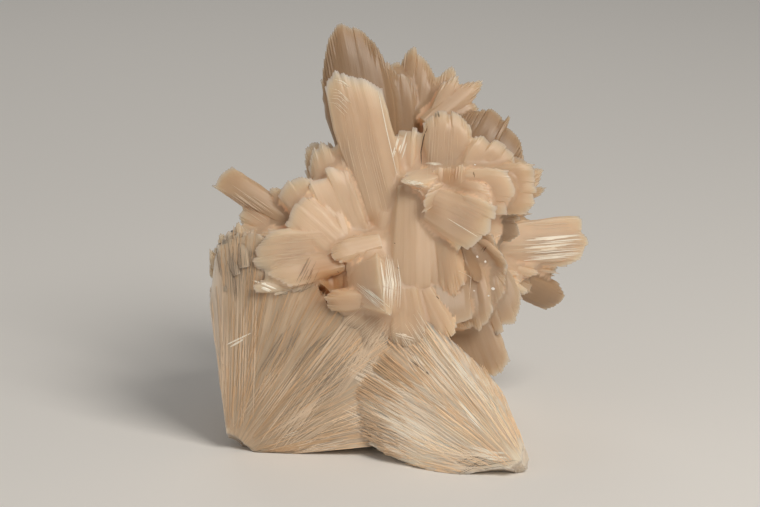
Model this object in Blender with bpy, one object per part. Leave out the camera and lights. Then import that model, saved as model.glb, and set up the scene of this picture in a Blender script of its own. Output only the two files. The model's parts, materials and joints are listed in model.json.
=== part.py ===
"""Hydroboracite specimen: sprays of radiating fibres that carry a rosette of bladed crystals.

The crystals have grown through each other from their roots, so the specimen is one solid. Each
crystal is placed as the viewer of its display side sees it: so far to the right of the middle,
so far up, and so far back, in millimetres. seen() turns such a place into one that stands on
the floor. The feet are broken off flat, and the specimen rests on them.
"""

import math
import random
from collections import namedtuple

import bmesh
import bpy
from mathutils import Matrix, Vector, noise

NODE_NAME = "crystal_cluster"
MM = 0.001

# The display side: its height above the horizon, the eye's distance, and the point it looks at
VIEW_TILT = math.radians(15.0)
VIEW_DISTANCE = 300.0
VIEW_CENTRE = (-2.0, 22.65)

# Where the middle of the specimen's box stands in the frame of the display side, in mm
BOX_MIDDLE_X = 0.44
BOX_MIDDLE_Y = 15.94

RIGHT = Vector((1, 0, 0))
UPWARD = Vector((0, math.sin(VIEW_TILT), math.cos(VIEW_TILT)))
AWAY = Vector((0, math.cos(VIEW_TILT), -math.sin(VIEW_TILT)))

# A bladed crystal, made of laths that lie side by side. turn is in degrees about its own length,
# and at 0 its flat side faces the viewer. crown is 0 for a square end and 1 for a round one.
Blade = namedtuple("Blade", "root tip width thick turn laths crown")

# A spray of fibres from one point. first and last are its angles as the viewer sees it, in
# degrees from the right. front and rear are its angles towards the back. inner and reach are
# the fibres' first and last distance from the point, as (angle, distance) pairs.
Spray = namedtuple("Spray", "apex first last front rear inner reach ribs")

SPRAYS = {
    "left": Spray(
        apex=(-17.0, 2.0, 8.8),
        first=6,
        last=97,
        front=-9,
        rear=38,
        inner=((6, 2.6), (50, 2.2), (97, 2.7)),
        reach=(
            (6, 14.9), (15, 17.2), (25, 20.2), (35, 21.2), (46, 21.2), (56, 19.6), (65, 21.0),
            (76, 22.4), (82, 24.4), (90, 24.2), (93, 22.6), (97, 16.6),
        ),
        ribs=28,
    ),
    "right": Spray(
        apex=(14.4, -1.3, -1.0),
        first=112,
        last=172,
        front=17.5,
        rear=50,
        inner=((112, 5.2), (125, 3.9), (145, 4.2), (160, 6.4), (172, 9.0)),
        reach=(
            (112, 12.4), (119, 17.2), (127, 23.2), (140, 23.2), (153, 23.6), (160, 21.4),
            (166, 20.0), (169, 16.0), (172, 11.0),
        ),
        ribs=24,
    ),
    "rear": Spray(
        apex=(3.0, 4.6, 24.5),
        first=62,
        last=156,
        front=-50,
        rear=2,
        inner=((62, 2.4), (156, 2.4)),
        reach=((62, 13.6), (95, 17.0), (156, 14.0)),
        ribs=20,
    ),
}

TOP_BLADES = {
    "summit": Blade((-2.4, 28.0, 15), (-5.5, 46.4, 14), 7.4, 2.4, 6, 5, 0.38),
    "saddle": Blade((1.2, 28.0, 17), (1.9, 43.9, 17), 5.6, 2.2, -8, 4, 0.5),
    "saddle_spur": Blade((2.6, 31.0, 16), (5.2, 41.8, 17), 3.4, 1.5, 12, 3, 0.3),
    "spike": Blade((2.6, 35.4, 15), (8.5, 40.3, 16), 3.0, 1.5, 0, 3, 0.7),
    "shoulder": Blade((4.6, 26.0, 14), (10.2, 37.2, 14.5), 9.0, 2.6, -6, 5, 0.35),
    "shoulder_plate": Blade((7.0, 27.0, 12), (14.2, 32.0, 12.5), 4.6, 1.6, -10, 4, 0.3),
    "far_spur": Blade((5.4, 26.2, 15.0), (15.0, 29.2, 20.5), 1.8, 1.4, 0, 2, 0.4),
    "tall": Blade((-0.7, 23.0, 9), (-5.2, 41.2, 7), 5.9, 1.7, 4, 6, 0.12),
    "golden_tuft": Blade((0.8, 27.5, 10), (0.4, 35.4, 9), 2.8, 1.6, -22, 4, 0.1),
    "grey": Blade((5.0, 28.5, 9), (4.6, 37.5, 8), 5.0, 1.8, 0, 6, 0.25),
    "saddle_web": Blade((0.0, 28.0, 17.6), (-0.9, 42.0, 17.4), 5.0, 2.2, 4, 3, 0.2),
    "upper_web": Blade((1.6, 24.0, 10.6), (2.4, 34.2, 10.4), 7.6, 2.6, 0, 3, 0.2),
}

ROSETTE_BLADES = {
    "wing": Blade((7.2, 29.4, 8), (14.0, 29.0, 7), 5.4, 1.3, 4, 6, 0.12),
    "crest": Blade((6.4, 28.8, 8), (10.6, 34.2, 8), 5.4, 1.4, 8, 5, 0.22),
    "plate": Blade((4.6, 29.4, 7), (11.6, 28.6, 5.4), 4.8, 1.2, 16, 5, 0.15),
    "shell": Blade((3.2, 27.6, 6.4), (9.5, 24.6, 3.8), 5.4, 1.2, 14, 7, 0.2),
    "leaf": Blade((5.4, 30.6, 7.4), (-0.3, 29.9, 5.2), 2.4, 0.9, 52, 3, 0.3),
    "low_leaf": Blade((5.6, 29.8, 7), (1.9, 26.8, 4.8), 2.2, 0.8, -34, 2, 0.5),
    "heart": Blade((4.8, 26.4, 8.5), (5.4, 31.8, 5.6), 4.4, 2.2, 0, 4, 0.15),
    "rosette_web": Blade((4.4, 27.2, 10.2), (10.2, 28.8, 8.8), 9.0, 2.4, 0, 4, 0.25),
}

MIDDLE_BLADES = {
    "centre_plate": Blade((1.4, 29.0, 9), (1.7, 16.6, 5.9), 6.4, 2.4, -6, 5, 0.16),
    "centre_right": Blade((3.6, 27.6, 9), (4.4, 17.4, 6.2), 4.8, 2.0, 18, 4, 0.22),
    "pocket_lip": Blade((-1.6, 18.4, 6), (-7.8, 17.8, 4.9), 2.4, 1.8, -20, 3, 0.2),
    "pocket_roof": Blade((-2.2, 23.6, 7), (-7.4, 22.6, 5.2), 2.6, 1.4, 20, 3, 0.3),
    "middle_web": Blade((-0.8, 26.4, 9.6), (-1.4, 16.2, 8.0), 8.4, 2.8, 0, 3, 0.2),
    "apron": Blade((1.8, 23.0, 9.6), (2.8, 13.0, 8.6), 9.6, 2.8, 0, 3, 0.2),
}

LEFT_BLADES = {
    "column": Blade((-8.0, 24.0, 10), (-18.1, 30.6, 9), 2.9, 2.4, 10, 3, 0.02),
    "high_leaf": Blade((-4.4, 22.6, 8.5), (-8.4, 34.4, 8.6), 3.8, 1.3, -10, 4, 0.28),
    "round_leaf": Blade((-4.8, 24.0, 11), (-9.0, 34.2, 10.8), 3.8, 1.4, 6, 3, 0.35),
    "bright_leaf": Blade((-4.0, 25.4, 9), (-7.2, 34.0, 9.6), 2.0, 1.0, 42, 2, 0.2),
    "mid_leaf": Blade((-3.6, 21.8, 8), (-7.8, 31.4, 6.8), 4.6, 1.3, 8, 4, 0.16),
    "low_leaf": Blade((-5.6, 22.8, 8), (-11.2, 30.2, 7.2), 4.0, 1.3, -8, 4, 0.12),
    "fore_leaf": Blade((-4.4, 21.8, 7), (-11.0, 27.8, 5.6), 4.2, 1.1, 10, 4, 0.16),
    "fan_leaf": Blade((-6.4, 23.8, 7), (-14.9, 22.6, 4.8), 4.2, 1.0, -14, 6, 0.15),
    "under_leaf": Blade((-5.8, 21.8, 6.6), (-13.4, 20.4, 4.8), 3.2, 1.1, 16, 4, 0.3),
    "chip": Blade((-10.4, 19.3, 6.6), (-15.0, 19.4, 4.9), 1.3, 0.9, 0, 2, 0.2),
    "tuft": Blade((-8.4, 23.2, 9.5), (-16.4, 27.2, 9.0), 4.2, 1.8, 0, 4, 0.15),
    "low_tuft": Blade((-9.0, 22.4, 9.5), (-17.2, 24.8, 8.6), 2.8, 1.6, 0, 3, 0.15),
    "left_web": Blade((-3.4, 21.0, 9.8), (-10.2, 29.8, 9.4), 7.6, 2.6, 0, 3, 0.25),
    "low_web": Blade((-3.8, 20.8, 9.6), (-13.0, 24.0, 8.2), 6.4, 2.4, -6, 3, 0.25),
    "high_web": Blade((-2.4, 23.0, 10.8), (-6.0, 33.8, 10.8), 6.4, 2.4, 0, 3, 0.3),
}

SHADE_BLADES = {
    "first": Blade((4.2, 24.0, 8.7), (5.4, 14.4, 5.4), 4.4, 1.4, -14, 5, 0.2),
    "second": Blade((6.2, 24.0, 10), (7.8, 14.6, 7.4), 4.0, 1.3, 14, 5, 0.2),
    "third": Blade((7.8, 23.6, 11.5), (11.4, 15.2, 9.8), 4.2, 1.3, -8, 4, 0.16),
    "fringe": Blade((5.2, 19.8, 11.5), (9.0, 9.7, 10.2), 5.6, 1.8, 6, 6, 0.14),
    "edge_on": Blade((6.0, 25.4, 10), (10.8, 20.8, 8.8), 3.0, 1.0, 58, 3, 0.35),
    "patch": Blade((6.4, 26.0, 10.5), (12.6, 25.0, 9.4), 3.4, 1.3, 24, 4, 0.15),
    "cleft": Blade((5.6, 24.6, 9), (8.2, 19.4, 7.8), 3.0, 1.0, -48, 3, 0.4),
    "shade_web": Blade((6.0, 25.0, 12.0), (8.4, 14.8, 11.4), 8.0, 2.6, 0, 3, 0.2),
}

PRONG_BLADES = {
    "prong": Blade((7.4, 23.2, 14), (19.1, 24.3, 19), 4.9, 3.2, -10, 5, 0.12),
    "prong_needle": Blade((6.0, 22.6, 14.5), (18.3, 21.9, 18), 1.5, 1.3, 0, 2, 0.2),
    "stub": Blade((7.6, 22.0, 15), (16.4, 17.8, 21), 3.4, 2.4, 12, 3, 0.14),
    "thorn": Blade((8.0, 21.4, 12.5), (13.1, 18.4, 14), 1.6, 1.2, 0, 2, 0.6),
}

# A wedge that stands out in front of the pocket, as the corners of its convex form
SHARD_CORNERS = (
    (-2.4, 23.0, 6.0), (-1.0, 21.4, 5.4), (-0.2, 18.9, 4.6), (-0.9, 16.4, 3.4),
    (-3.8, 17.3, 4.6), (-5.6, 18.6, 5.6), (-5.4, 21.4, 6.4),
    (-2.3, 22.2, 4.2), (-2.0, 19.5, 2.7), (-1.4, 16.8, 2.8), (-2.6, 20.0, 8.5),
)

# Intergrown roots that the crystals stand on: middle and half sizes across, up and back
ROOT_MASSES = (
    ((0.0, 24.2, 13.6), (7.2, 6.8, 5.8)),
    ((-0.8, 15.4, 14.8), (8.4, 7.8, 7.0)),
    ((4.8, 24.6, 12.8), (5.2, 6.6, 4.6)),
    ((-7.2, 21.6, 11.2), (4.8, 5.2, 3.8)),
    ((0.6, 23.8, 10.8), (8.2, 5.0, 3.0)),
    ((6.4, 28.8, 10.0), (3.4, 3.0, 2.4)),
    ((-0.2, 11.6, 9.6), (2.6, 2.8, 2.4)),
)
ROOT_ROUGHNESS = 0.22

# The far side, which the display side hides: blades that stand out from the middle of the roots
REAR_BLADES = 19
REAR_MIDDLE = (0.4, 23.0, 14.5)
REAR_SPREAD = math.radians(84)
REAR_LENGTHS = (8.6, 12.6)
REAR_WIDTHS = (4.6, 6.8)
REAR_THICKNESSES = (1.2, 2.0)
REAR_FLATTENING = (0.78, 0.98)
GOLDEN_ANGLE = math.pi * (3 - math.sqrt(5))

# The form of a blade: how wide its root is, where it is widest, and how its end and sides vary
ROOT_SHARE = 0.5
WIDEST_AT = 0.7
END_NARROWING = 0.02
LATH_VARIATION = 0.03
NOTCH_DEPTHS = (0.2, 0.55)
GROOVE = 0.12
EDGE_THINNING = 0.62

# The form of a spray: layers from front to rear, steps along a fibre, and its ragged relief
SPRAY_LAYERS = 3
SPRAY_STEPS = 1
SPRAY_NOTCH = 0.035
SPRAY_RAGGED = 0.035
SPRAY_RIB = math.radians(1.6)

FLOOR_CUT = 80.0


def seen(across, up, back):
    """The place in the specimen's frame, in mm, of a point given as its viewer sees it."""
    spread = 1 + back / VIEW_DISTANCE
    return (
        RIGHT * (VIEW_CENTRE[0] + (across - VIEW_CENTRE[0]) * spread - BOX_MIDDLE_X)
        + UPWARD * (VIEW_CENTRE[1] + (up - VIEW_CENTRE[1]) * spread)
        + AWAY * back
        - Vector((0, BOX_MIDDLE_Y, 0))
    )


def between(pairs, angle):
    """The value at an angle on the line through (angle, value) pairs."""
    for (low, first), (high, second) in zip(pairs, pairs[1:]):
        if angle <= high:
            return first + (second - first) * (angle - low) / (high - low)
    return pairs[-1][1]


def new_object(name, bm):
    """A mesh object in metres from a closed bmesh in mm, with its faces pointing out."""
    bmesh.ops.recalc_face_normals(bm, faces=bm.faces)
    if bm.calc_volume(signed=True) < 0:
        bmesh.ops.reverse_faces(bm, faces=bm.faces)
    bmesh.ops.scale(bm, vec=(MM, MM, MM), verts=bm.verts)
    mesh = bpy.data.meshes.new(name)
    bm.to_mesh(mesh)
    bm.free()
    made = bpy.data.objects.new(name, mesh)
    bpy.context.scene.collection.objects.link(made)
    return made


def blade_axes(along, turn):
    """The directions across a blade and out of its flat side."""
    face = -AWAY - along * along.dot(-AWAY)
    face = Matrix.Rotation(math.radians(turn), 3, along) @ face.normalized()
    return face.cross(along), face


def lath_ends(laths, length, crown, rng):
    """The length of each column of a blade: lath middles at odd columns, notches between them."""
    columns = 2 * laths + 1
    ends = []
    for column in range(columns):
        off_centre = abs(2 * column / (columns - 1) - 1)
        rounding = 1 - math.sqrt(1 - (0.97 * off_centre) ** 2)
        ends.append(length * (1 - crown * rounding) * (1 - rng.uniform(0, LATH_VARIATION)))
    for column in range(0, columns, 2):
        ends[column] -= rng.uniform(*NOTCH_DEPTHS)
    return ends


def add_blade(bm, blade, rng):
    """One bladed crystal: fluted flat sides, thin edges and a finely notched chisel end."""
    root, tip = seen(*blade.root), seen(*blade.tip)
    along = (tip - root).normalized()
    across, face = blade_axes(along, blade.turn)
    ends = lath_ends(blade.laths, (tip - root).length, blade.crown, rng)
    columns = len(ends)
    fronts, backs = [], []
    for share in (0.0, WIDEST_AT):
        front, back = [], []
        for column, end in enumerate(ends):
            place = 2 * column / (columns - 1) - 1
            grown = ROOT_SHARE + (1 - ROOT_SHARE) * share / WIDEST_AT
            centre = root + along * (end * share) + across * (place * grown * blade.width / 2)
            depth = blade.thick / 2 * (1 - EDGE_THINNING * abs(place) ** 2.4)
            depth *= 1 + GROOVE * rng.uniform(0, 0.5) if column % 2 else 1 - GROOVE
            front.append(bm.verts.new(centre + face * depth))
            back.append(front[-1] if column in (0, columns - 1) else bm.verts.new(centre - face * depth))
        fronts.append(front)
        backs.append(back)
    points = []
    for column, end in enumerate(ends):
        place = (2 * column / (columns - 1) - 1) * (1 - END_NARROWING)
        points.append(bm.verts.new(root + along * end + across * (place * blade.width / 2)))
    for rows in (fronts + [points], backs + [points]):
        for lower, upper in zip(rows, rows[1:]):
            for column in range(columns - 1):
                bm.faces.new((lower[column], lower[column + 1], upper[column + 1], upper[column]))
    bm.faces.new(fronts[0] + backs[0][-2:0:-1])


def add_spray(bm, spray, rng):
    """One spray of radiating fibres: ribbed faces that run to its apex, and a ragged outer end."""
    apex = seen(*spray.apex)
    last = (spray.ribs, SPRAY_LAYERS, SPRAY_STEPS)
    verts = {}
    for i in range(last[0] + 1):
        for j in range(last[1] + 1):
            angle = spray.first + (spray.last - spray.first) * i / last[0]
            lean = math.radians(spray.front + (spray.rear - spray.front) * j / last[1])
            lean += SPRAY_RIB * (i % 2) * {0: 1, last[1]: -1}.get(j, 0)
            turned = math.radians(angle)
            way = (
                RIGHT * (math.cos(turned) * math.cos(lean))
                + UPWARD * (math.sin(turned) * math.cos(lean))
                + AWAY * math.sin(lean)
            )
            start = between(spray.inner, angle)
            ragged = 1 - SPRAY_NOTCH * (i % 2) - rng.uniform(0, SPRAY_RAGGED)
            end = between(spray.reach, angle) * ragged
            for k in range(last[2] + 1):
                if any(index in (0, most) for index, most in zip((i, j, k), last)):
                    verts[i, j, k] = bm.verts.new(apex + way * (start + (end - start) * k / last[2]))
    close_grid(bm, verts, last)


def close_grid(bm, verts, last):
    """Faces on the six sides of a block of numbered points."""
    for axis in range(3):
        first, second = (other for other in range(3) if other != axis)
        for level in (0, last[axis]):
            for a in range(last[first]):
                for b in range(last[second]):
                    corners = []
                    for da, db in ((0, 0), (1, 0), (1, 1), (0, 1)):
                        index = [0, 0, 0]
                        index[axis], index[first], index[second] = level, a + da, b + db
                        corners.append(verts[tuple(index)])
                    bm.faces.new(corners)


def add_root_mass(bm, middle, half_sizes):
    """A lump of intergrown roots with flat facets."""
    made = bmesh.ops.create_icosphere(bm, subdivisions=2, radius=1)["verts"]
    for vert in made:
        swell = 1 + ROOT_ROUGHNESS * noise.noise(vert.co * 2.3 + Vector(middle))
        place = [m + c * h * swell for m, c, h in zip(middle, vert.co, half_sizes)]
        vert.co = seen(*place)


def rear_blades():
    """Blades on the far side, spread evenly about the line of sight."""
    rng = random.Random(23)
    made = {}
    for number in range(REAR_BLADES):
        off = REAR_SPREAD * math.sqrt((number + 0.5) / REAR_BLADES)
        around = GOLDEN_ANGLE * number
        way = Vector((math.sin(off) * math.cos(around), math.sin(off) * math.sin(around), math.cos(off)))
        length = rng.uniform(*REAR_LENGTHS)
        middle = Vector(REAR_MIDDLE)
        reach = Vector((way.x * REAR_FLATTENING[0], way.y * REAR_FLATTENING[1], way.z)) * length
        made[f"rear_{number + 1}"] = Blade(
            tuple(middle + way * 1.5),
            tuple(middle + reach),
            rng.uniform(*REAR_WIDTHS),
            rng.uniform(*REAR_THICKNESSES),
            rng.uniform(-60, 60),
            3,
            rng.uniform(0.15, 0.5),
        )
    return made


def all_crystals():
    """Every crystal of the specimen as an object of its own, still overlapping its neighbours."""
    made = []
    for name, spray in SPRAYS.items():
        bm = bmesh.new()
        add_spray(bm, spray, random.Random(name))
        made.append(new_object(f"{name}_spray", bm))
    groups = {
        "top": TOP_BLADES,
        "rosette": ROSETTE_BLADES,
        "middle": MIDDLE_BLADES,
        "left": LEFT_BLADES,
        "shade": SHADE_BLADES,
        "prong": PRONG_BLADES,
        "far_side": rear_blades(),
    }
    for group, blades in groups.items():
        for name, blade in blades.items():
            bm = bmesh.new()
            add_blade(bm, blade, random.Random(name))
            made.append(new_object(f"{group}_{name}", bm))
    bm = bmesh.new()
    for corner in SHARD_CORNERS:
        bm.verts.new(seen(*corner))
    bmesh.ops.convex_hull(bm, input=bm.verts)
    made.append(new_object("shard", bm))
    for number, (middle, half_sizes) in enumerate(ROOT_MASSES):
        bm = bmesh.new()
        add_root_mass(bm, middle, half_sizes)
        made.append(new_object(f"root_mass_{number + 1}", bm))
    return made


def floor_cutter():
    """A block under the floor that leaves the feet flat."""
    bm = bmesh.new()
    bmesh.ops.create_cube(bm, size=FLOOR_CUT)
    bmesh.ops.translate(bm, vec=(0, 0, -FLOOR_CUT / 2), verts=bm.verts)
    return new_object("floor_cutter", bm)


def as_helper(obj):
    """Keeps an object out of renders and out of the specimen."""
    obj.hide_render = True
    obj.display_type = "WIRE"


def grown_together(crystals):
    """One solid from all the crystals, cut flat at the floor."""
    body = crystals[0]
    others = bpy.data.collections.new("crystals")
    bpy.context.scene.collection.children.link(others)
    for crystal in crystals[1:]:
        others.objects.link(crystal)
        bpy.context.scene.collection.objects.unlink(crystal)
        as_helper(crystal)
    join = body.modifiers.new("grow together", "BOOLEAN")
    join.operation = "UNION"
    join.operand_type = "COLLECTION"
    join.collection = others
    cutter = floor_cutter()
    as_helper(cutter)
    cut = body.modifiers.new("flat feet", "BOOLEAN")
    cut.operation = "DIFFERENCE"
    cut.object = cutter
    body.name = NODE_NAME
    return body


def crystal_material():
    """Milky cream crystal with a silky lustre."""
    made = bpy.data.materials.new("hydroboracite")
    made.use_nodes = True
    shader = made.node_tree.nodes["Principled BSDF"]
    shader.inputs["Base Color"].default_value = (0.80, 0.66, 0.50, 1)
    shader.inputs["Roughness"].default_value = 0.38
    shader.inputs["Metallic"].default_value = 0.0
    shader.inputs["Subsurface Weight"].default_value = 0.6
    return made


def main():
    for old in list(bpy.data.objects):
        bpy.data.objects.remove(old)
    cluster = grown_together(all_crystals())
    cluster.data.materials.append(crystal_material())


main()
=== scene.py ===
"""Hydroboracite specimen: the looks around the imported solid.

Every crystal of the solid is made again here with its laths, fibres and notched ends. The
crystals are placed as in the solid: across, up and back as the viewer of the display side sees
them, in millimetres.
"""

import itertools
import json
import math
import random

import bmesh
import bpy
import numpy as np
from mathutils import Matrix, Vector
from mathutils.bvhtree import BVHTree
from mathutils.kdtree import KDTree

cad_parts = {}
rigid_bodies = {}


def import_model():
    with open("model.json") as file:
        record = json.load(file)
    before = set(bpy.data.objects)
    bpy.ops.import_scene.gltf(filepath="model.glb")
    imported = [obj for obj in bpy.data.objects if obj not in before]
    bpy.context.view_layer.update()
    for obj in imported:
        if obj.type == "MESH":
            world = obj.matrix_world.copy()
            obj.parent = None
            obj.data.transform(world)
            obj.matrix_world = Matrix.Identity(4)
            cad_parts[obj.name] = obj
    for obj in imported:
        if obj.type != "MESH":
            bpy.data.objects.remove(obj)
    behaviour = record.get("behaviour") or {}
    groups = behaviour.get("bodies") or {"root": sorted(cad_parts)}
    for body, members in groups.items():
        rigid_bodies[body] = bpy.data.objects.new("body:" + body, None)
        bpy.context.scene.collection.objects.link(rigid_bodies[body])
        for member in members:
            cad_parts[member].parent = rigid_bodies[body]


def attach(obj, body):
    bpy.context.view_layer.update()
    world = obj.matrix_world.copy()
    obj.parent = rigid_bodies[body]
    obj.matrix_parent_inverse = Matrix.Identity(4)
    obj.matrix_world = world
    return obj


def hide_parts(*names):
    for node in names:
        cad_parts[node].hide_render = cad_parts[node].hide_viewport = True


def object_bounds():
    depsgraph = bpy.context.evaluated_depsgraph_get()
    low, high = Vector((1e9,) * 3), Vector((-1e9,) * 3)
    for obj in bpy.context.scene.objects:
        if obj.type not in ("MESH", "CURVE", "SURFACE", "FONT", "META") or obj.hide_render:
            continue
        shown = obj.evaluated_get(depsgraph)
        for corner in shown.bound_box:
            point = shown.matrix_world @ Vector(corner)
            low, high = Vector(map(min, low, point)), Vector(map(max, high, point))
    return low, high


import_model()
CAD_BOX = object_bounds()

MM = 0.001
EDGE_GAP = 0.004
BOX_LOW, BOX_HIGH = (np.array(corner) / MM for corner in CAD_BOX)
VIEW_TILT = math.radians(15.0)
VIEW_DISTANCE = 300.0
VIEW_CENTRE = (-2.0, 22.65)
BOX_MIDDLE_X = 0.44
BOX_MIDDLE_Y = 15.94
FRAME_WIDTH = 76.0

RIGHT = np.array((1.0, 0.0, 0.0))
UPWARD = np.array((0.0, math.sin(VIEW_TILT), math.cos(VIEW_TILT)))
AWAY = np.array((0.0, math.cos(VIEW_TILT), -math.sin(VIEW_TILT)))

# Each spray: apex, first and last angle, front and rear lean, how far its front bends back at its end,
# and where its fibres start and end by angle
SPRAYS = {
    "left": dict(
        apex=(-17, 2, 8.8),
        span=(6, 97),
        lean=(-9, 38),
        inner=((6, 2.6), (50, 2.2), (97, 2.7)),
        reach=(
            (6, 14.9), (15, 17.2), (25, 20.2), (35, 21.2), (46, 21.2), (56, 19.6), (65, 21),
            (76, 22.4), (82, 24.4), (90, 24.2), (93, 22.6), (97, 16.6),
        ),
    ),
    "right": dict(
        apex=(14.4, -1.3, -1),
        span=(112, 172),
        lean=(17.5, 50),
        dive=5.5,
        inner=((112, 5.2), (125, 3.9), (145, 4.2), (160, 6.4), (172, 9)),
        reach=(
            (112, 12.4), (119, 17.6), (125, 23.4), (129, 25.2), (135, 25), (142, 24),
            (153, 23.6), (160, 21.4), (166, 20), (169, 16), (172, 11),
        ),
    ),
    "rear": dict(
        apex=(3, 4.6, 24.5),
        span=(62, 156),
        lean=(-50, 2),
        inner=((62, 2.4), (156, 2.4)),
        reach=((62, 13.6), (95, 17), (156, 14)),
    ),
}

# Each blade: root, tip, width, thickness, turn in degrees, share of its length that its point takes
TOP_BLADES = {
    "summit": ((-2.4, 28, 15), (-5.5, 46.4, 14), 7.4, 2.4, 6, 0.38),
    "saddle": ((1.2, 28, 17), (1.9, 43.9, 17), 5.6, 2.2, -8, 0.5),
    "saddle_spur": ((2.6, 31, 16), (5.2, 41.8, 17), 3.4, 1.5, 12, 0.3),
    "spike": ((2.6, 35.4, 15), (8.5, 40.3, 16), 3, 1.5, 0, 0.7),
    "shoulder": ((4.6, 26, 14), (10.2, 37.2, 14.5), 9, 2.6, -6, 0.35),
    "shoulder_plate": ((7, 27, 12), (14.2, 32, 12.5), 4.6, 1.6, -10, 0.3),
    "far_spur": ((5.4, 26.2, 15), (15, 29.2, 20.5), 1.8, 1.4, 0, 0.4),
    "tall": ((-0.7, 23, 9), (-5.2, 41.2, 7), 5.9, 1.7, 4, 0.12),
    "golden_tuft": ((0.8, 27.5, 10), (0.4, 35.4, 9), 2.8, 1.6, -22, 0.1),
    "grey": ((5, 28.5, 9), (4.6, 37.5, 8), 5, 1.8, 0, 0.25),
    "saddle_web": ((0, 28, 17.6), (-0.9, 42, 17.4), 5, 2.2, 4, 0.2),
    "upper_web": ((1.6, 24, 10.6), (2.4, 34.2, 10.4), 7.6, 2.6, 0, 0.2),
}
ROSETTE_BLADES = {
    "wing": ((7.2, 29.4, 8), (14, 29, 7), 5.4, 1.3, 4, 0.12),
    "crest": ((6.4, 28.8, 8), (10.6, 34.2, 8), 5.4, 1.4, 8, 0.22),
    "plate": ((4.6, 29.4, 7), (11.6, 28.6, 5.4), 4.8, 1.2, 16, 0.15),
    "shell": ((3.2, 27.6, 6.4), (9.5, 24.6, 3.8), 5.4, 1.2, 14, 0.2),
    "leaf": ((5.4, 30.6, 7.4), (-0.3, 29.9, 5.2), 2.4, 0.9, 52, 0.3),
    "low_leaf": ((5.6, 29.8, 7), (1.9, 26.8, 4.8), 2.2, 0.8, -34, 0.5),
    "heart": ((4.8, 26.4, 8.5), (5.4, 31.8, 5.6), 4.4, 2.2, 0, 0.15),
    "rosette_web": ((4.4, 27.2, 10.2), (10.2, 28.8, 8.8), 9, 2.4, 0, 0.25),
}
MIDDLE_BLADES = {
    "centre_plate": ((1.4, 29, 9), (1.7, 16.6, 5.9), 6.4, 2.4, -6, 0.16),
    "centre_right": ((3.6, 27.6, 9), (4.4, 17.4, 6.2), 4.8, 2, 18, 0.22),
    "pocket_lip": ((-1.6, 18.4, 6), (-7.8, 17.8, 4.9), 2.4, 1.8, -20, 0.2),
    "pocket_roof": ((-2.2, 23.6, 7), (-7.4, 22.6, 5.2), 2.6, 1.4, 20, 0.3),
    "middle_web": ((-0.8, 26.4, 9.6), (-1.4, 16.2, 8), 8.4, 2.8, 0, 0.2),
    "apron_web": ((1.8, 23, 9.6), (2.8, 13, 8.6), 9.6, 2.8, 0, 0.2),
}
# The first four are at the edge of the left spray and aren't in the solid
LEFT_BLADES = {
    "edge_lath": ((-16.4, 20.6, 6.5), (-18.2, 25, 5.9), 1.6, 1.1, 12, 0.3),
    "edge_tooth": ((-17.4, 19, 6.8), (-19, 23.4, 6.3), 1.2, 1, -8, 0.4),
    "top_lath": ((-15.4, 21.4, 6.2), (-16.3, 26, 5.6), 1.7, 1.1, -12, 0.3),
    "edge_spur": ((-17.4, 19.4, 7.2), (-19.4, 18.2, 6.9), 0.9, 0.8, 0, 0.5),
    "column": ((-8, 24, 10), (-18.1, 30.6, 9), 2.9, 2.4, 10, 0.02),
    "high_leaf": ((-4.4, 22.6, 8.5), (-8.4, 34.4, 8.6), 3.8, 1.3, -10, 0.28),
    "round_leaf": ((-4.8, 24, 11), (-9, 34.2, 10.8), 3.8, 1.4, 6, 0.35),
    "bright_leaf": ((-4, 25.4, 9), (-7.2, 34, 9.6), 2, 1, 42, 0.2),
    "mid_leaf": ((-3.6, 21.8, 8), (-7.8, 31.4, 6.8), 4.6, 1.3, 8, 0.16),
    "low_leaf": ((-5.6, 22.8, 8), (-11.2, 30.2, 7.2), 4, 1.3, -8, 0.12),
    "fore_leaf": ((-4.4, 21.8, 7), (-11, 27.8, 5.6), 4.2, 1.1, 10, 0.16),
    "fan_leaf": ((-6.4, 23.8, 7), (-14.9, 22.6, 4.8), 4.2, 1, -14, 0.15),
    "under_leaf": ((-5.8, 21.8, 6.6), (-13.4, 20.4, 4.8), 3.2, 1.1, 16, 0.3),
    "chip": ((-10.4, 19.3, 6.6), (-15, 19.4, 4.9), 1.3, 0.9, 0, 0.2),
    "tuft": ((-8.4, 23.2, 9.5), (-16.4, 27.2, 9), 4.2, 1.8, 0, 0.15),
    "low_tuft": ((-9, 22.4, 9.5), (-17.2, 24.8, 8.6), 2.8, 1.6, 0, 0.15),
    "left_web": ((-3.4, 21, 9.8), (-10.2, 29.8, 9.4), 7.6, 2.6, 0, 0.25),
    "low_web": ((-3.8, 20.8, 9.6), (-13, 24, 8.2), 6.4, 2.4, -6, 0.25),
    "high_web": ((-2.4, 23, 10.8), (-6, 33.8, 10.8), 6.4, 2.4, 0, 0.3),
}
SHADE_BLADES = {
    "first": ((4.2, 24, 8.7), (5.4, 14.4, 5.4), 4.4, 1.4, -14, 0.2),
    "second": ((6.2, 24, 10), (7.8, 14.6, 7.4), 4, 1.3, 14, 0.2),
    "third": ((7.8, 23.6, 11.5), (11.4, 15.2, 9.8), 4.2, 1.3, -8, 0.16),
    "fringe": ((5.2, 19.8, 11.5), (9, 9.7, 10.2), 5.6, 1.8, 6, 0.14),
    "edge_on": ((6, 25.4, 10), (10.8, 20.8, 8.8), 3, 1, 58, 0.35),
    "patch": ((6.4, 26, 10.5), (12.6, 25, 9.4), 3.4, 1.3, 24, 0.15),
    "cleft": ((5.6, 24.6, 9), (8.2, 19.4, 7.8), 3, 1, -48, 0.4),
    "shade_web": ((6, 25, 12), (8.4, 14.8, 11.4), 8, 2.6, 0, 0.2),
}
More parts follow.
